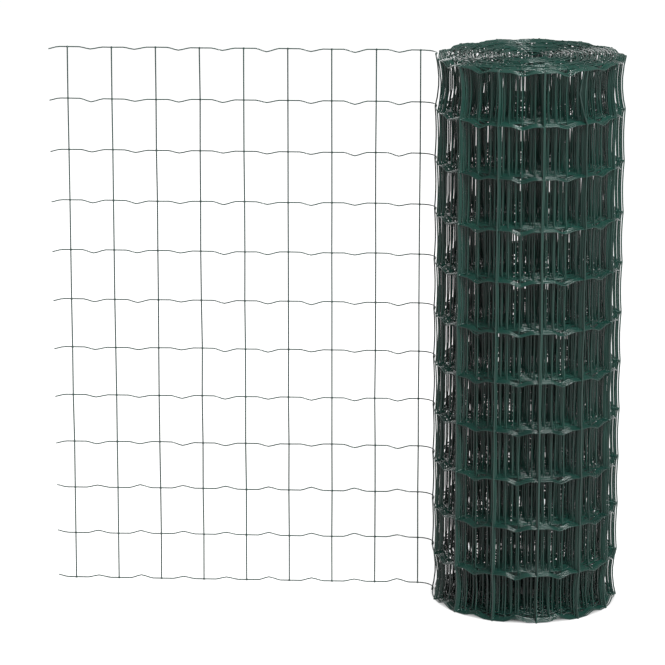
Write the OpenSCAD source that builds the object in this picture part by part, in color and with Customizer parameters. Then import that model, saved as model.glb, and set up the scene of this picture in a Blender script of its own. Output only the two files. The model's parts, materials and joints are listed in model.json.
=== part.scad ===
// Roll of welded wire fencing, standing on its end, with its last length unrolled.
// Millimetres. The roll's axis is Z, and it stands on Z = 0.
// The unrolled end runs from the roll towards -X, and its line wires face -Y.

/* [Mesh] */
// Height of the fence over its top and bottom row wires
fence_h = 1000; // [600:10:2000]
// Number of row wires, which run along the fence
row_count = 12; // [4:1:20]
// How much taller each mesh is than the one below it
row_grade = 0.75; // [0:0.05:1.5]
// Spacing of the upright line wires along the fence
line_pitch = 79; // [40:1:120]
// Diameter of a row wire over its coating
row_d = 2.1; // [1.2:0.1:4]
// Diameter of a line wire over its coating
line_d = 2.5; // [1.2:0.1:4]
// How far a line wire is welded into a row wire
weld_depth = 0.4; // [0.2:0.1:0.6]
// Depth of the crimp in a row wire between two line wires
crimp_h = 5; // [1:0.5:10]
// Rows, counted from the bottom, whose crimps point up
rows_crimped_up = 3; // [0:1:4]

/* [Roll] */
// Diameter of the hollow inside the first turn
core_d = 44; // [30:2:200]
// Number of turns on the roll
turns = 48; // [6:1:60]
// Gap between the row wires of two turns, which nest with the line wires between them
turn_gap = 0.9; // [0.5:0.1:4]
// How deep these gaps show on the roll's ends
turn_gap_h = 6; // [2:0.5:20]
// How far the roll's side draws in between two rows
waist = 2; // [0.5:0.5:6]
// How far it draws in between the first two and the last two rows
end_waist = 6; // [0.5:0.5:8]

/* [Unrolled end] */
// Line wires on the unrolled end
free_lines = 9; // [2:1:20]
// Length of row wire left beyond the last line wire
tail = 34; // [10:1:40]
// Radius of the bend where the fence leaves the roll
bend_r = 30; // [15:1:60]
// How far the unrolled end stands behind the roll's axis
panel_back = 50; // [-30:1:60]
// Gap between the roll and the wires that leave it
seat_gap = 0.3; // [0.1:0.1:0.8]

/* [Hidden] */
coating = [0.13, 0.25, 0.22];

turn_pitch = row_d + turn_gap;
core_r = core_d / 2;
roll_r = core_r + turns * turn_pitch;
// The outermost row wires stand half out of the roll's side.
wall_r = roll_r - row_d / 2;

// The gaps stop short of the side, where it draws in furthest.
gap_count = floor((wall_r - end_waist - core_r) / turn_pitch);

// Heights of the row wires' centres, with the meshes growing from the bottom up.
mesh_count = row_count - 1;
grade_sum = row_grade * mesh_count * (mesh_count - 1) / 2;
first_mesh_h = (fence_h - row_d - grade_sum) / mesh_count;
function row_z(row) = row_d / 2 + row * first_mesh_h + row_grade * row * (row - 1) / 2;

// A crimp starts, turns and ends at these shares of the line wires' spacing.
crimp_start = 0.20;
crimp_turn = 0.48;
crimp_end = 0.73;

// The bend, seen from above: it leaves the roll along its surface and ends parallel to X.
leave_r = roll_r + row_d / 2 + seat_gap;
leave_angle = asin((bend_r - panel_back) / (leave_r + bend_r));
bend_centre = (leave_r + bend_r) * [-cos(leave_angle), -sin(leave_angle)];
bend_steps = 4;
panel_x = bend_centre.x;
panel_y = panel_back;
line_y = panel_y - (row_d + line_d) / 2 + weld_depth;
wire_sides = 6;

// A row's crimps point down, except on the lowest rows.
function crimp_way(row) = row < rows_crimped_up ? 1 : -1;

// Points of one row wire as [x, y, z, direction seen from above].
function bend_points(row) = [
    for (step = [0 : bend_steps])
        let (turn = leave_angle + (90 - leave_angle) * step / bend_steps)
        [bend_centre.x + bend_r * cos(turn), bend_centre.y + bend_r * sin(turn), row_z(row), turn + 90]
];
function panel_point(row, along, rise) = [panel_x - along, panel_y, row_z(row) + crimp_way(row) * rise, 180];
function crimp_points(row) = [
    for (line = [0 : free_lines - 2], knot = [[crimp_start, 0], [crimp_turn, crimp_h], [crimp_end, 0]])
        panel_point(row, (line + knot.x) * line_pitch, knot.y)
];
function tail_points(row) =
    let (
        last_line = (free_lines - 1) * line_pitch,
        crimp_run = (crimp_turn - crimp_start) * line_pitch,
        crimped = min(tail - crimp_start * line_pitch, crimp_run)
    )
    crimped > 0
        ? [
            panel_point(row, last_line + crimp_start * line_pitch, 0),
            panel_point(row, last_line + crimp_start * line_pitch + crimped, crimp_h * crimped / crimp_run)
        ]
        : [panel_point(row, last_line + tail, 0)];

// A wire swept along points given as above, with a section that stands upright.
module wire(points, d) {
    last = len(points) - 1;
    function ring(p) = [
        for (side = [0 : wire_sides - 1])
            let (a = 90 + side * 360 / wire_sides)
            [p.x - d / 2 * cos(a) * sin(p[3]), p.y + d / 2 * cos(a) * cos(p[3]), p.z + d / 2 * sin(a)]
    ];
    rings = [for (p = points) each ring(p)];
    walls = [
        for (i = [0 : last - 1], side = [0 : wire_sides - 1])
            let (a = i * wire_sides + side, b = i * wire_sides + (side + 1) % wire_sides)
            each [[a, b + wire_sides, b], [a, a + wire_sides, b + wire_sides]]
    ];
    start = [for (side = [0 : wire_sides - 1]) side];
    end = [for (side = [wire_sides - 1 : -1 : 0]) last * wire_sides + side];
    polyhedron(rings, concat([start], walls, [end]));
}

module row_wire(row) {
    wire(concat(bend_points(row), crimp_points(row), tail_points(row)), row_d);
}

module line_wire(line) {
    translate([panel_x - line * line_pitch, line_y, 0])
        cylinder(h = fence_h, d = line_d, $fn = wire_sides);
}

// The arc that draws the side in between two rows, as an outline to cut away.
module waist_cut(row) {
    depth = row == 0 || row == mesh_count - 1 ? end_waist : waist;
    chord = row_z(row + 1) - row_z(row);
    arc_r = (chord * chord / 4 + depth * depth) / (2 * depth);
    translate([wall_r + arc_r - depth, (row_z(row) + row_z(row + 1)) / 2])
        circle(r = arc_r, $fn = 360);
}

// The gap outside one turn's row wire, on both ends.
module turn_gap_cut(turn) {
    for (z = [0, fence_h - turn_gap_h])
        translate([core_r + turn * turn_pitch + row_d, z])
            square([turn_gap, turn_gap_h]);
}

module roll() {
    color(coating)
        rotate_extrude($fn = 180)
            union() {
                difference() {
                    translate([core_r, 0])
                        square([wall_r - core_r, fence_h]);
                    for (row = [0 : mesh_count - 1])
                        waist_cut(row);
                    for (turn = [0 : gap_count - 1])
                        turn_gap_cut(turn);
                }
                for (row = [0 : row_count - 1])
                    translate([wall_r, row_z(row)])
                        circle(d = row_d, $fn = 24);
            }
}

module unrolled_end() {
    color(coating)
        union() {
            for (row = [0 : row_count - 1])
                row_wire(row);
            for (line = [0 : free_lines - 1])
                line_wire(line);
        }
}

roll();
unrolled_end();
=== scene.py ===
import json
import math

import bpy
import numpy as np
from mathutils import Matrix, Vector


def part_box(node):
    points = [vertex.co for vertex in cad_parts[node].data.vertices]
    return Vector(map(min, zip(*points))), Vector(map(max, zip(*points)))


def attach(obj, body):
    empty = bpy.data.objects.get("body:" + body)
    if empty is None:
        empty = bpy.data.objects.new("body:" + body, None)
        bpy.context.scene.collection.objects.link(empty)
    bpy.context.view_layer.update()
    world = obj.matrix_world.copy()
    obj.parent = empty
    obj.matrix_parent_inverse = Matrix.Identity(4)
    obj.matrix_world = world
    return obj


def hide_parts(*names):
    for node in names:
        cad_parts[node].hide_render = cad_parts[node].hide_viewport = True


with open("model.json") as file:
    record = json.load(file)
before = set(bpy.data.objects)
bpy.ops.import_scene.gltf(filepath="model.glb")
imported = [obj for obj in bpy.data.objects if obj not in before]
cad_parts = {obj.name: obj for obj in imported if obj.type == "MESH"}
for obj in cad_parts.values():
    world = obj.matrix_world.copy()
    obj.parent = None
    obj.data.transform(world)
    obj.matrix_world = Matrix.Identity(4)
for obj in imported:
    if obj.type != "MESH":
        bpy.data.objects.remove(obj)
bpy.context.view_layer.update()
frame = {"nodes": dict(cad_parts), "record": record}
print("frame loaded:", ", ".join(sorted(frame["nodes"])))

# the welded mesh itself, in metres
fencing = {
    "rows": 12,
    "rowGrade": 0.00075,  # each mesh is this much taller than the one below
    "rowRadius": 0.00105,
    "lineRadius": 0.00125,
    "weldDepth": 0.0004,
    "weldError": 0.0004,  # how far welds sit above or below their row
    "cutShort": 0.0003,  # how far line wires stop short of the mesh's edges
    "linePitch": 0.079,
    "crimpDepth": 0.005,
    "crimpKnots": (0.20, 0.48, 0.73),  # start, turn and end of a crimp, as shares of a mesh
    "crimpRange": (0.75, 1.25),  # shallowest and deepest crimp, as shares of the depth
    "seed": 2130,
}

# the wound part
coil = {
    "turns": 48,
    "stepsPerTurn": 400,  # fineness of the table of the spiral
    "looseTurns": 3,  # outermost turns, which have sprung open a little
    "loosePitch": 0.0028,
    "swell": 1.0,  # how much wider the turns are spaced at the core than outside
    "swellPower": 1.5,
    "seatGap": 0.0003,
    "lastPlace": -0.0605,  # where along the mesh the roll's last line wire is, before the bend
    "alignedTurns": 6,  # outer turns whose line wires lie nearly one behind the other
    "linesPerTurn": 13,
    "drift": 0.0006,  # how far line wires lie out of line on all turns but the outermost
    "spread": 0.717,  # share of a mesh by which each deeper turn is wound past the last
    "tail": 0.034,
    "fineTurns": 8,  # outer turns with more faces
    "waist": 0.002,  # how far line wires bow inwards between rows
    "endWaist": 0.006,
    "flatness": 0.0016,  # how far rows cut the corner between two line wires
    "slack": 0.0006,  # how far line wires stand in or out
    "slip": 0.004,  # how far inner turns ride up
    "slipError": 0.0004,
    "slipStart": 12,  # half turns over which it sets in
    "crimpDepth": 0.0066,
    "sway": 0.0006,  # how far welds stand out of line
    "skew": (0.001, 0.003, 0.010),  # how far the top of a turn is wound ahead of its bottom
    "skewTurns": (0, 2, 12),  # on these turns, counted inwards
    "steadiness": 7,  # half turns over which slip and skew change
}

# the flat part
panel = {
    "lines": 9,
    "back": 0.050,  # how far it stands behind the roll's axis
    "bendRadius": 0.030,
    "tail": 0.034,
    "tailShares": (0.0, 0.17, 0.26, 0.34),  # rings along a tail, as shares of a mesh
    "rowsCrimpedUp": 3,
    "swayShare": 0.5,  # how far its welds stand out of line, next to the roll's
}

# one line wire of the outermost turn is bent aside in the top mesh
kink = {
    "fromEnd": 5,  # counted back from where the mesh leaves the roll
    "aside": (-0.001, -0.0165, -0.009),  # at the bottom, at the bend and at the top
    "outwards": (0.0, 0.004, 0.0),
    "bendAt": 0.58,  # share of the mesh's height
}

dice = np.random.default_rng(fencing["seed"])

# places that follow from the frame and the sizes above
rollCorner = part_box("roll")[1]
height = rollCorner[2]
rollRadius = rollCorner[0]
mounts = {mount["name"]: mount for mount in frame["record"]["mounts"]}
coreRadius = mounts["core_bore"]["dims"]["r_mm"] / 1000
leaveRadius = rollRadius + fencing["rowRadius"] + coil["seatGap"]
reach = leaveRadius + panel["bendRadius"]
leaveAngle = math.asin((panel["bendRadius"] - panel["back"]) / reach)
bendCentre = np.array([-reach * math.cos(leaveAngle), -reach * math.sin(leaveAngle)])
bendLength = panel["bendRadius"] * (math.pi / 2 - leaveAngle)
lineOffset = fencing["rowRadius"] + fencing["lineRadius"] - fencing["weldDepth"]

# the spiral as a table: angle wound back, depth below the outermost row and length of mesh
tableSteps = coil["stepsPerTurn"] * coil["turns"]
woundAngles = np.linspace(0.0, 2 * math.pi * coil["turns"], tableSteps + 1)
woundTurns = woundAngles / (2 * math.pi)
tightShare = (woundTurns - coil["looseTurns"]) / (coil["turns"] - coil["looseTurns"])
tightPitch = 1 + coil["swell"] * np.maximum(tightShare, 0) ** coil["swellPower"]
tightSum = np.cumsum(np.where(tightShare > 0, tightPitch, 0.0))
looseDepth = coil["loosePitch"] * np.minimum(woundTurns, coil["looseTurns"])
tightDepth = leaveRadius - coreRadius - looseDepth[-1]
woundDepths = looseDepth + tightDepth * tightSum / tightSum[-1]
woundRadii = leaveRadius - woundDepths
stepLengths = (woundRadii[1:] + woundRadii[:-1]) / 2 * woundAngles[1]
woundLengths = np.concatenate([[0.0], np.cumsum(stepLengths)])
coilLength = woundLengths[-1]

meshes = fencing["rows"] - 1
grades = fencing["rowGrade"] * np.arange(fencing["rows"]) * (np.arange(fencing["rows"]) - 1) / 2
firstMesh = (height - 2 * fencing["rowRadius"] - grades[-1]) / meshes
rowHeights = fencing["rowRadius"] + np.arange(fencing["rows"]) * firstMesh + grades


def backAngle(run):
    # angle wound back from where the mesh leaves the roll; run is negative on the roll
    return np.interp(-run, woundLengths, woundAngles)


def planPoint(run):
    # place and outward direction, seen from above, of a point that far along the mesh
    run = np.asarray(run, float)
    wound = backAngle(run)
    radius = np.interp(wound, woundAngles, woundRadii)
    bent = np.minimum(run, bendLength) / panel["bendRadius"]
    turned = math.pi + leaveAngle + np.where(run > 0, bent, wound)
    outward = np.stack([np.cos(turned), np.sin(turned)], -1)
    onCoil = outward * radius[..., None]
    onBend = bendCentre - outward * panel["bendRadius"]
    onBend[..., 0] -= np.maximum(run - bendLength, 0.0)
    return np.where((run > 0)[..., None], onBend, onCoil), outward


# places of the line wires along the mesh, from the core outwards
lastAngle = backAngle(coil["lastPlace"])
lineTurns = np.linspace(0.0, coil["turns"] - lastAngle / (2 * math.pi), tableSteps)
lineAngles = lastAngle + 2 * math.pi * lineTurns
fitting = 2 * math.pi * np.interp(lineAngles, woundAngles, woundRadii) / fencing["linePitch"]
spreadLines = np.round(fitting - coil["spread"]) + coil["spread"]
linesPerTurn = np.where(lineTurns < coil["alignedTurns"], coil["linesPerTurn"], spreadLines)
lineNumbers = np.concatenate([[0.0], np.cumsum(linesPerTurn[1:] * np.diff(lineTurns))])
coilTurns = np.interp(np.arange(int(lineNumbers[-1])), lineNumbers, lineTurns)
coilLines = -np.interp(lastAngle + 2 * math.pi * coilTurns, woundAngles, woundLengths)
coilLines += dice.normal(0.0, 1.0, len(coilTurns)) * np.where(coilTurns < 1, 0.0, coil["drift"])
coilLines = coilLines[coilLines > coil["tail"] - coilLength][::-1]
hingeLine = (coil["lastPlace"] + bendLength) / 2  # short meshes where it leaves the roll
panelLines = bendLength + np.arange(panel["lines"]) * fencing["linePitch"]
lineRuns = np.concatenate([coilLines, [hingeLine], panelLines])
spans = np.diff(lineRuns)
coilLast = len(coilLines)
panelFirst = coilLast + 1
lastLine = len(lineRuns) - 1
fineFirst = int(np.searchsorted(-backAngle(coilLines), -2 * math.pi * coil["fineTurns"]))
print("line wires:", len(lineRuns), "wound length %.2f m" % coilLength)

# how loosely each turn is wound, and small errors of the welds and of each crimp
halfTurns = np.arange(2 * coil["turns"] + 2)
settled = np.clip(halfTurns / coil["slipStart"], 0.0, 1.0)
steadyTurns = np.arange(0, len(halfTurns) + coil["steadiness"], coil["steadiness"])
slipKnots = np.interp(halfTurns, steadyTurns, dice.uniform(0.0, coil["slip"], len(steadyTurns)))
slipErrors = dice.uniform(-coil["slipError"], coil["slipError"], len(halfTurns))
slipKnots = (slipKnots + slipErrors + coil["slipError"]) * settled
skewKnots = np.interp(halfTurns, steadyTurns, dice.uniform(-1.0, 1.0, len(steadyTurns)))
skewKnots *= np.interp(halfTurns / 2, coil["skewTurns"], coil["skew"])
slackKnots = dice.normal(0.0, coil["slack"], len(lineRuns))
slackKnots[coilLast - 3:] = 0.0  # none near the bend and on the flat part
weldRise = dice.normal(0.0, fencing["weldError"], (fencing["rows"], len(lineRuns)))
crimpShare = dice.uniform(*fencing["crimpRange"], (fencing["rows"], len(lineRuns)))
weldRise[0] = np.abs(weldRise[0])  # the bottom and top rows keep within the height
weldRise[-1] = -np.abs(weldRise[-1])
sways = dice.normal(0.0, coil["sway"], (len(lineRuns), fencing["rows"]))
sways[panelFirst:] *= panel["swayShare"]
kinkLine = coilLast - kink["fromEnd"]


def alongTurns(run, knots):
    # a value that changes from half turn to half turn
    return np.interp(backAngle(np.asarray(run, float)) / math.pi, halfTurns, knots)


def crimpRise(share):
    # how far into its crimp a row wire is, from 0 to 1, with rounded turns
    start, turn, end = fencing["crimpKnots"]
    down = np.clip((share - start) / (turn - start), 0, 1)
    back = np.clip((end - share) / (end - turn), 0, 1)
    slope = np.where(share < turn, down, back)
    return 0.5 * slope + 0.25 - 0.25 * np.cos(math.pi * slope)


def rowPoints(row, fromLine, toLine, shares, tailStart, tailEnd):
    # one row wire from one line wire to another, with tails beyond them
    runs = []
    rises = []
    dips = []
    for line in range(fromLine, toLine):
        onPanel = lineRuns[line] > 0
        up = row == 0 or (onPanel and row < panel["rowsCrimpedUp"])
        short = panelFirst > line >= coilLast - 1  # the meshes at the bend have no crimp
        depth = fencing["crimpDepth"] if onPanel else coil["crimpDepth"]
        depth = 0.0 if short else depth * crimpShare[row, line] * (1 if up else -1)
        blend = weldRise[row, line] + (weldRise[row, line + 1] - weldRise[row, line]) * shares
        runs.append(lineRuns[line] + shares * spans[line])
        rises.append(blend + depth * crimpRise(shares))
        dips.append(4 * shares * (1 - shares) * (0.0 if short or onPanel else coil["flatness"]))
    tail = np.array(panel["tailShares"] + (tailEnd / fencing["linePitch"],))
    tail = tail[:1] if tailEnd == 0 else tail
    up = row < panel["rowsCrimpedUp"]
    runs.append(lineRuns[toLine] + tail * fencing["linePitch"])
    rises.append(weldRise[row, toLine] + fencing["crimpDepth"] * (1 if up else -1) * crimpRise(tail))
    dips.append(np.zeros(len(tail)))
    if tailStart > 0:
        runs.insert(0, lineRuns[fromLine] - np.array([tailStart, tailStart / 2]))
        rises.insert(0, np.full(2, weldRise[row, fromLine]))
        dips.insert(0, np.zeros(2))
    runs = np.concatenate(runs)
    plan, outward = planPoint(runs)
    slack = np.interp(runs, lineRuns, slackKnots) - np.concatenate(dips)
    plan = plan + outward * slack[:, None]
    skew = alongTurns(runs, skewKnots) * (rowHeights[row] / height - 0.5) * (runs < coilLines[-1])
    plan = plan + np.column_stack([-outward[:, 1], outward[:, 0]]) * skew[:, None]
    return np.column_stack([plan, rowHeights[row] + np.concatenate(rises) + alongTurns(runs, slipKnots)])


def lineSeat(line):
    # where a line wire sits on the rows, the ways outward and along the mesh, its skew and slip
    plan, outward = planPoint(lineRuns[line:line + 1])
    along = np.array([-outward[0][1], outward[0][0]])
    skew = float(alongTurns(lineRuns[line], skewKnots)) if line < coilLast - 1 else 0.0
    return plan[0], outward[0], along, skew, float(alongTurns(lineRuns[line], slipKnots))


def linePoints(line, steps):
    # one line wire, bowed between its welds
    plan, outward, along, skew, slip = lineSeat(line)
    plan = plan + outward * (lineOffset + slackKnots[line])
    onCoil = line < panelFirst
    sway = sways[line]
    upper = np.minimum(np.arange(fencing["rows"]) + 1, meshes)
    points = []
    for row in range(fencing["rows"]):
        for step in steps if row < meshes else [0.0]:
            rise = rowHeights[row] + (rowHeights[upper[row]] - rowHeights[row]) * step
            waist = coil["endWaist"] if row in (0, meshes - 1) else coil["waist"]
            inwards = 4 * step * (1 - step) * waist * np.hypot(*plan) / rollRadius if onCoil else 0.0
            aside = skew * (rise / height - 0.5) + sway[row] + (sway[upper[row]] - sway[row]) * step
            if line == kinkLine and row >= meshes - 1:
                places = (meshes - 1, meshes - 1 + kink["bendAt"], meshes)
                aside += np.interp(row + step, places, kink["aside"])
                inwards -= np.interp(row + step, places, kink["outwards"])
            spot = plan - outward * inwards + along * aside
            points.append([spot[0], spot[1], rise])
    points = np.array(points)
    points[0, 2] = fencing["cutShort"]
    points[-1, 2] = height - fencing["cutShort"]
    points[:, 2] += slip
    return points


def startTree(name, inputs, output):
    # a tree with named inputs, and the identifiers of their sockets
    tree = bpy.data.node_groups.new(name, "GeometryNodeTree")
    sockets = {}
    for label, kind in inputs.items():
        socket = tree.interface.new_socket(label, in_out="INPUT", socket_type="NodeSocket" + kind)
        sockets[label] = socket.identifier
    tree.interface.new_socket(output, in_out="OUTPUT", socket_type="NodeSocketGeometry")
    return tree, sockets


def makeWireTree():
    # round wires along centre lines, with bare steel on their cut ends
    tree, sockets = startTree("coatedWire", {
        "Centre Lines": "Geometry", "Wire Radius": "Float", "Sides": "Int",
        "Coating": "Material", "Cut End": "Material"}, "Wires")
    new = tree.nodes.new
    link = tree.links.new
    entry = new("NodeGroupInput")
    leave = new("NodeGroupOutput")
    toCurve = new("GeometryNodeMeshToCurve")
    section = new("GeometryNodeCurvePrimitiveCircle")
    sweep = new("GeometryNodeCurveToMesh")
    sweep.inputs["Fill Caps"].default_value = True
    smooth = new("GeometryNodeSetShadeSmooth")
    realize = new("GeometryNodeRealizeInstances")
    coat = new("GeometryNodeSetMaterial")
    cut = new("GeometryNodeInputNamedAttribute")
    cut.data_type = "FLOAT"
    cut.inputs["Name"].default_value = "cutEnd"
    isCut = new("FunctionNodeCompare")
    isCut.data_type = "FLOAT"
    isCut.operation = "GREATER_THAN"
    isCut.inputs[1].default_value = 0.75  # only a cap has all its corners at the cut
    bare = new("GeometryNodeSetMaterial")
    link(entry.outputs["Centre Lines"], toCurve.inputs["Mesh"])
    link(entry.outputs["Sides"], section.inputs["Resolution"])
    link(entry.outputs["Wire Radius"], section.inputs["Radius"])
    link(toCurve.outputs["Curve"], sweep.inputs["Curve"])
    link(section.outputs["Curve"], sweep.inputs["Profile Curve"])
    link(sweep.outputs["Mesh"], smooth.inputs["Geometry"])
    link(smooth.outputs["Geometry"], realize.inputs["Geometry"])
    link(realize.outputs["Geometry"], coat.inputs["Geometry"])
    link(entry.outputs["Coating"], coat.inputs["Material"])
    link(coat.outputs["Geometry"], bare.inputs["Geometry"])
    link(cut.outputs["Attribute"], isCut.inputs[0])
    link(isCut.outputs["Result"], bare.inputs["Selection"])
    link(entry.outputs["Cut End"], bare.inputs["Material"])
    link(bare.outputs["Geometry"], leave.inputs["Wires"])
    return tree, sockets


def makeWeldTree():
    # a small rounded fillet of coating on every crossing
    tree, sockets = startTree("weldFillet", {
        "Crossings": "Geometry", "Size": "Vector", "Roundness": "Int", "Coating": "Material"}, "Fillets")
    new = tree.nodes.new
    link = tree.links.new
    entry = new("NodeGroupInput")
    leave = new("NodeGroupOutput")
    ball = new("GeometryNodeMeshIcoSphere")
    ball.inputs["Radius"].default_value = 1.0
    outward = new("GeometryNodeInputNamedAttribute")
    outward.data_type = "FLOAT_VECTOR"
    outward.inputs["Name"].default_value = "outward"
    face = new("FunctionNodeAlignRotationToVector")
    face.axis = "Z"
    place = new("GeometryNodeInstanceOnPoints")
    realize = new("GeometryNodeRealizeInstances")
    smooth = new("GeometryNodeSetShadeSmooth")
    coat = new("GeometryNodeSetMaterial")
    link(entry.outputs["Crossings"], place.inputs["Points"])
    link(entry.outputs["Roundness"], ball.inputs["Subdivisions"])
    link(ball.outputs["Mesh"], place.inputs["Instance"])
    link(outward.outputs["Attribute"], face.inputs["Vector"])
    link(face.outputs["Rotation"], place.inputs["Rotation"])
    link(entry.outputs["Size"], place.inputs["Scale"])
    link(place.outputs["Instances"], realize.inputs["Geometry"])
    link(realize.outputs["Geometry"], smooth.inputs["Geometry"])
    link(smooth.outputs["Geometry"], coat.inputs["Geometry"])
    link(entry.outputs["Coating"], coat.inputs["Material"])
    link(coat.outputs["Geometry"], leave.inputs["Fillets"])
    return tree, sockets


def throughTree(name, mesh, tree, values):
    # the tree's result comes back as a plain mesh, with no modifier left
    carrier = bpy.data.objects.new(name + "Source", mesh)
    bpy.context.scene.collection.objects.link(carrier)
    modifier = carrier.modifiers.new(tree.name, "NODES")
    modifier.node_group = tree
    for identifier, value in values.items():
        modifier[identifier] = value
    graph = bpy.context.evaluated_depsgraph_get()
    result = bpy.data.meshes.new_from_object(carrier.evaluated_get(graph), depsgraph=graph)
    bpy.data.objects.remove(carrier)
    bpy.data.meshes.remove(mesh)
    result.name = name
    piece = bpy.data.objects.new(name, result)
    bpy.context.scene.collection.objects.link(piece)
    result.calc_loop_triangles()
    print(name, "triangles:", len(result.loop_triangles))
    return piece


def makeWires(name, paths, cuts, radius, sides):
    # cuts says whether the start and the end of each path are cut ends
    counts = [len(path) for path in paths]
    starts = np.concatenate([[0], np.cumsum(counts)[:-1]])
    edges = [(int(start + i), int(start + i + 1))
             for start, count in zip(starts, counts) for i in range(count - 1)]
    mesh = bpy.data.meshes.new(name + "Lines")
    mesh.from_pydata(np.concatenate(paths).tolist(), edges, [])
    tone = mesh.attributes.new("wireTone", "FLOAT", "POINT")
    tone.data.foreach_set("value", np.repeat(dice.uniform(0, 1, len(paths)), counts).astype(np.float32))
    ends = np.zeros(sum(counts), np.float32)
    for start, count in zip(starts, counts):
        ends[start] = cuts[0]
        ends[start + count - 1] = cuts[1]
    mesh.attributes.new("cutEnd", "FLOAT", "POINT").data.foreach_set("value", ends)
    return throughTree(name, mesh, wireTree, {
        wireSockets["Wire Radius"]: radius, wireSockets["Sides"]: sides,
        wireSockets["Coating"]: coating, wireSockets["Cut End"]: cutSteel})


fillet = {
    "size": (0.0021, 0.0021, 0.0017),  # half sizes along the wires and through them
}


def makeFillets(name, lines, roundness):
    spots = []
    normals = []
    for line in lines:
        plan, outward, along, skew, slip = lineSeat(line)
        offset = slackKnots[line] + lineOffset / 2
        for row in range(fencing["rows"]):
            rise = rowHeights[row] + weldRise[row, line] + slip
            aside = skew * (rowHeights[row] / height - 0.5) + sways[line, row]
            if line == kinkLine and row == meshes:
                aside += kink["aside"][-1]
            spot = plan + outward * offset + along * aside
            spots.append([spot[0], spot[1], rise])
            normals.append([outward[0], outward[1], 0.0])
    mesh = bpy.data.meshes.new(name + "Spots")
    mesh.from_pydata(spots, [], [])
    direction = mesh.attributes.new("outward", "FLOAT_VECTOR", "POINT")
    direction.data.foreach_set("vector", np.array(normals, np.float32).ravel())
    tone = mesh.attributes.new("wireTone", "FLOAT", "POINT")
    tone.data.foreach_set("value", dice.uniform(0, 1, len(spots)).astype(np.float32))
    piece = throughTree(name, mesh, weldTree, {
        weldSockets["Size"]: fillet["size"], weldSockets["Roundness"]: roundness,
        weldSockets["Coating"]: coating})
    for vertex in piece.data.vertices:
        vertex.co.z = max(vertex.co.z, 0.0)  # the bottom row stands on the floor
    return piece


def startMaterial(name):
    material = bpy.data.materials.new(name)
    material.use_nodes = True
    nodes = material.node_tree.nodes
    return material, nodes, material.node_tree.links.new, nodes["Principled BSDF"]


coatingLook = {
    "dark": (0.003, 0.018, 0.015, 1),
    "light": (0.008, 0.042, 0.032, 1),
    "darkAt": 0.25,
    "lightAt": 0.85,
    "toneShare": 0.45,  # how much wires differ from each other
    "patchScale": 7.0,
    "patchDetail": 4.0,
    "peelScale": 420.0,
    "peelDetail": 3.0,
    "peelDepth": 0.0002,
    "peelStrength": 0.25,
    "smoothest": 0.10,
    "roughest": 0.22,
    "gloss": 0.40,
}


def makeCoating():
    material, nodes, link, shader = startMaterial("greenCoating")
    shader.inputs["Specular IOR Level"].default_value = coatingLook["gloss"]
    where = nodes.new("ShaderNodeTexCoord")
    tone = nodes.new("ShaderNodeAttribute")
    tone.attribute_name = "wireTone"
    patches = nodes.new("ShaderNodeTexNoise")
    patches.inputs["Scale"].default_value = coatingLook["patchScale"]
    patches.inputs["Detail"].default_value = coatingLook["patchDetail"]
    mixTone = nodes.new("ShaderNodeMath")
    mixTone.operation = "MULTIPLY_ADD"
    mixTone.inputs[1].default_value = coatingLook["toneShare"]
    greens = nodes.new("ShaderNodeValToRGB")
    greens.color_ramp.elements[0].position = coatingLook["darkAt"]
    greens.color_ramp.elements[0].color = coatingLook["dark"]
    greens.color_ramp.elements[1].position = coatingLook["lightAt"]
    greens.color_ramp.elements[1].color = coatingLook["light"]
    link(where.outputs["Object"], patches.inputs["Vector"])
    link(tone.outputs["Fac"], mixTone.inputs[0])
    link(patches.outputs["Fac"], mixTone.inputs[2])
    link(mixTone.outputs["Value"], greens.inputs["Fac"])
    link(greens.outputs["Color"], shader.inputs["Base Color"])
    fine = nodes.new("ShaderNodeTexNoise")
    fine.inputs["Scale"].default_value = coatingLook["peelScale"]
    fine.inputs["Detail"].default_value = coatingLook["peelDetail"]
    rough = nodes.new("ShaderNodeMapRange")
    rough.inputs["To Min"].default_value = coatingLook["smoothest"]
    rough.inputs["To Max"].default_value = coatingLook["roughest"]
    link(where.outputs["Object"], fine.inputs["Vector"])
    link(fine.outputs["Fac"], rough.inputs["Value"])
    link(rough.outputs["Result"], shader.inputs["Roughness"])
    peel = nodes.new("ShaderNodeBump")
    peel.inputs["Strength"].default_value = coatingLook["peelStrength"]
    peel.inputs["Distance"].default_value = coatingLook["peelDepth"]
    link(fine.outputs["Fac"], peel.inputs["Height"])
    link(peel.outputs["Normal"], shader.inputs["Normal"])
    return material


cutLook = {
    "dark": (0.12, 0.12, 0.12, 1),
    "light": (0.42, 0.42, 0.41, 1),
    "burrScale": 900.0,
    "roughness": 0.42,
}


def makeCutSteel():
    material, nodes, link, shader = startMaterial("cutSteel")
    shader.inputs["Metallic"].default_value = 1.0
    shader.inputs["Roughness"].default_value = cutLook["roughness"]
    where = nodes.new("ShaderNodeTexCoord")
    burr = nodes.new("ShaderNodeTexNoise")
    burr.inputs["Scale"].default_value = cutLook["burrScale"]
    greys = nodes.new("ShaderNodeValToRGB")
    greys.color_ramp.elements[0].color = cutLook["dark"]
    greys.color_ramp.elements[1].color = cutLook["light"]
    link(where.outputs["Object"], burr.inputs["Vector"])
    link(burr.outputs["Fac"], greys.inputs["Fac"])
    link(greys.outputs["Color"], shader.inputs["Base Color"])
    return material


coating = makeCoating()
cutSteel = makeCutSteel()
wireTree, wireSockets = makeWireTree()
weldTree, weldSockets = makeWeldTree()

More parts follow.
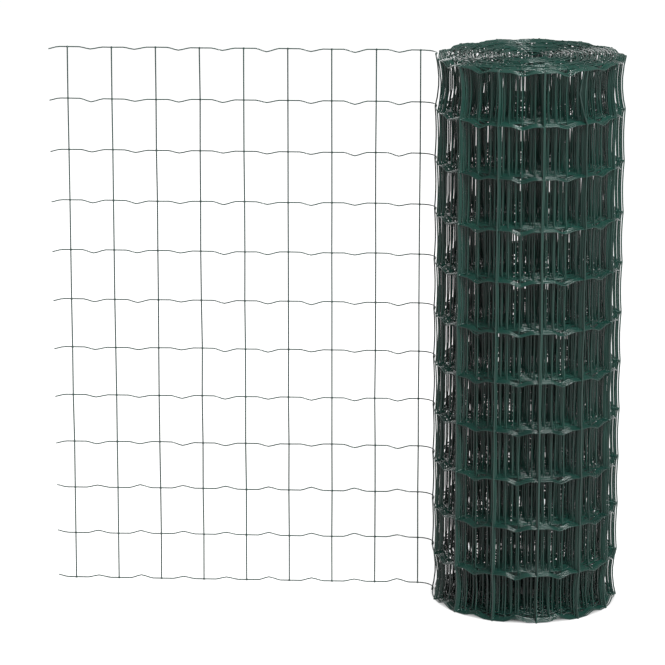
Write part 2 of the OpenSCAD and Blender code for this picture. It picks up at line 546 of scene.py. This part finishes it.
# shares of a mesh at which a row wire has a ring, and of a row's height for a line wire
fineShares = np.array([0.0, 0.12, 0.20, 0.29, 0.385, 0.48, 0.565, 0.65, 0.73, 0.86])
plainShares = np.array([0.0, 0.20, 0.33, 0.48, 0.61, 0.73])
fineSteps = [0.0, 0.18, 0.40, kink["bendAt"], 0.82]
plainSteps = [0.0, 0.3, 0.7]
wireSides = {"rollInner": 6, "rollOuter": 8, "end": 10}
weldRoundness = {"rollInner": 1, "rollOuter": 2, "end": 2}
allRows = range(fencing["rows"])
half = fencing["rows"] // 2


def makeRows(name, part, paths, cuts):
    return makeWires(name, paths, cuts, fencing["rowRadius"], wireSides[part])


def innerRow(row):
    return rowPoints(row, 0, fineFirst, plainShares, coil["tail"], 0.0)


def outerRow(row):
    # the row runs on through the bend, where the flat part takes over
    return rowPoints(row, fineFirst, panelFirst, fineShares, 0.0, 0.0)


def panelRow(row):
    return rowPoints(row, panelFirst, lastLine, fineShares, 0.0, panel["tail"])


pieces = []
for part, rows in (("Low", allRows[:half]), ("High", allRows[half:])):
    pieces.append(makeRows("rollInnerRows" + part, "rollInner", [innerRow(k) for k in rows], (1, 0)))
    pieces.append(makeRows("rollOuterRows" + part, "rollOuter", [outerRow(k) for k in rows], (0, 0)))
pieces.append(makeRows("endRowWires", "end", [panelRow(k) for k in allRows], (0, 1)))
for part, lines, steps in (
        ("rollInner", range(fineFirst), plainSteps),
        ("rollOuter", range(fineFirst, panelFirst), fineSteps),
        ("end", range(panelFirst, lastLine + 1), fineSteps)):
    paths = [linePoints(k, steps) for k in lines]
    pieces.append(makeWires(part + "LineWires", paths, (1, 1), fencing["lineRadius"], wireSides[part]))
    pieces.append(makeFillets(part + "Welds", lines, weldRoundness[part]))

for piece in pieces:
    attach(piece, "root")
    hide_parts("roll" if piece.name.startswith("roll") else "unrolled_end")
print("wires placed")

# floor, light and camera
studio = {
    "white": 0.42,  # the world as it is seen, and below it the light that it gives
    "ambient": 0.06,
    "floorColour": (0.3, 0.3, 0.3, 1),
    "floorRoughness": 0.9,
    "floorReach": 20.0,
    "floorDrop": 0.0004,
    "floorGlow": 0.93,
    "glowStart": 0.9,  # shares of the roll's radius between which the floor's glow sets in; inside them the floor carries a painted shadow of the roll
    "glowFull": 1.06,
    "target": (-0.1, 0, 0.5),  # what the lamps face
    "keyPower": 165.0,
    "keySize": (1.6, 1.2),
    "keyPlace": (3.0, -3.8, 2.4),
    "topPower": 290.0,
    "topSize": (2.0, 0.35),
    "topPlace": (0.85, -2.9, 4.2),
    "fillPower": 85.0,
    "fillSize": (2.0, 2.0),
    "fillPlace": (-2.6, 3.6, 2.6),
    "cameraPlace": (-0.025, -6.4, 2.171),
    "cameraPitch": 14.703,
    "cameraYaw": 2.915,
    "focal": 3672.9,  # in pixels
    "frameSize": 665,
}


def seenDirectly(nodes, link):
    # 1 for camera, glossy and transmission rays
    path = nodes.new("ShaderNodeLightPath")
    mirrored = nodes.new("ShaderNodeMath")
    mirrored.operation = "MAXIMUM"
    seen = nodes.new("ShaderNodeMath")
    seen.operation = "MAXIMUM"
    link(path.outputs["Is Glossy Ray"], mirrored.inputs[0])
    link(path.outputs["Is Transmission Ray"], mirrored.inputs[1])
    link(path.outputs["Is Camera Ray"], seen.inputs[0])
    link(mirrored.outputs["Value"], seen.inputs[1])
    return seen.outputs["Value"]


def makeFloor():
    mesh = bpy.data.meshes.new("floor")
    far = studio["floorReach"]
    corners = ((-far, -far), (far, -far), (far, far), (-far, far))
    mesh.from_pydata([(x, y, -studio["floorDrop"]) for x, y in corners], [], [(0, 1, 2, 3)])
    floor = bpy.data.objects.new("floor", mesh)
    bpy.context.scene.collection.objects.link(floor)
    look, nodes, link, shader = startMaterial("paleFloor")
    shader.inputs["Base Color"].default_value = studio["floorColour"]
    shader.inputs["Roughness"].default_value = studio["floorRoughness"]
    where = nodes.new("ShaderNodeTexCoord")
    distance = nodes.new("ShaderNodeVectorMath")
    distance.operation = "LENGTH"
    paintedShadowMask = nodes.new("ShaderNodeMapRange")  # painted shadow: no glow under the roll and less just around it, so the floor is darker there
    paintedShadowMask.inputs["From Min"].default_value = studio["glowStart"] * rollRadius
    paintedShadowMask.inputs["From Max"].default_value = studio["glowFull"] * rollRadius
    paintedShadowMask.inputs["To Max"].default_value = studio["floorGlow"]
    share = nodes.new("ShaderNodeMath")
    share.operation = "MULTIPLY"
    link(where.outputs["Object"], distance.inputs[0])
    link(distance.outputs["Value"], paintedShadowMask.inputs["Value"])
    link(paintedShadowMask.outputs["Result"], share.inputs[0])
    link(seenDirectly(nodes, link), share.inputs[1])
    link(share.outputs["Value"], shader.inputs["Emission Strength"])
    shader.inputs["Emission Color"].default_value = (1, 1, 1, 1)
    mesh.materials.append(look)


def makeWorld():
    world = bpy.data.worlds.new("studioWorld")
    bpy.context.scene.world = world
    world.use_nodes = True
    nodes = world.node_tree.nodes
    link = world.node_tree.links.new
    sky = nodes["Background"]
    sky.inputs["Color"].default_value = (1, 1, 1, 1)
    level = nodes.new("ShaderNodeMapRange")
    level.inputs["To Min"].default_value = studio["ambient"]
    level.inputs["To Max"].default_value = studio["white"]
    link(seenDirectly(nodes, link), level.inputs["Value"])
    link(level.outputs["Result"], sky.inputs["Strength"])


def addLamp(role):
    lamp = bpy.data.lights.new(role + "Light", "AREA")
    lamp.shape = "RECTANGLE"
    lamp.size, lamp.size_y = studio[role + "Size"]
    lamp.energy = studio[role + "Power"]
    holder = bpy.data.objects.new(role + "Light", lamp)
    holder.location = studio[role + "Place"]
    aim = Vector(studio["target"]) - Vector(studio[role + "Place"])
    holder.rotation_euler = aim.to_track_quat("-Z", "Y").to_euler()
    bpy.context.scene.collection.objects.link(holder)


def addCamera():
    camera = bpy.data.cameras.new("camera")
    camera.sensor_width = 36.0
    camera.lens = studio["focal"] * camera.sensor_width / studio["frameSize"]
    holder = bpy.data.objects.new("camera", camera)
    holder.location = studio["cameraPlace"]
    tilt = math.radians(90 - studio["cameraPitch"])
    holder.rotation_euler = (tilt, 0, math.radians(studio["cameraYaw"]))
    bpy.context.scene.collection.objects.link(holder)
    bpy.context.scene.camera = holder


makeFloor()
makeWorld()
for role in ("key", "top", "fill"):
    addLamp(role)
addCamera()
bpy.context.scene.view_settings.view_transform = "Standard"
print("studio ready")
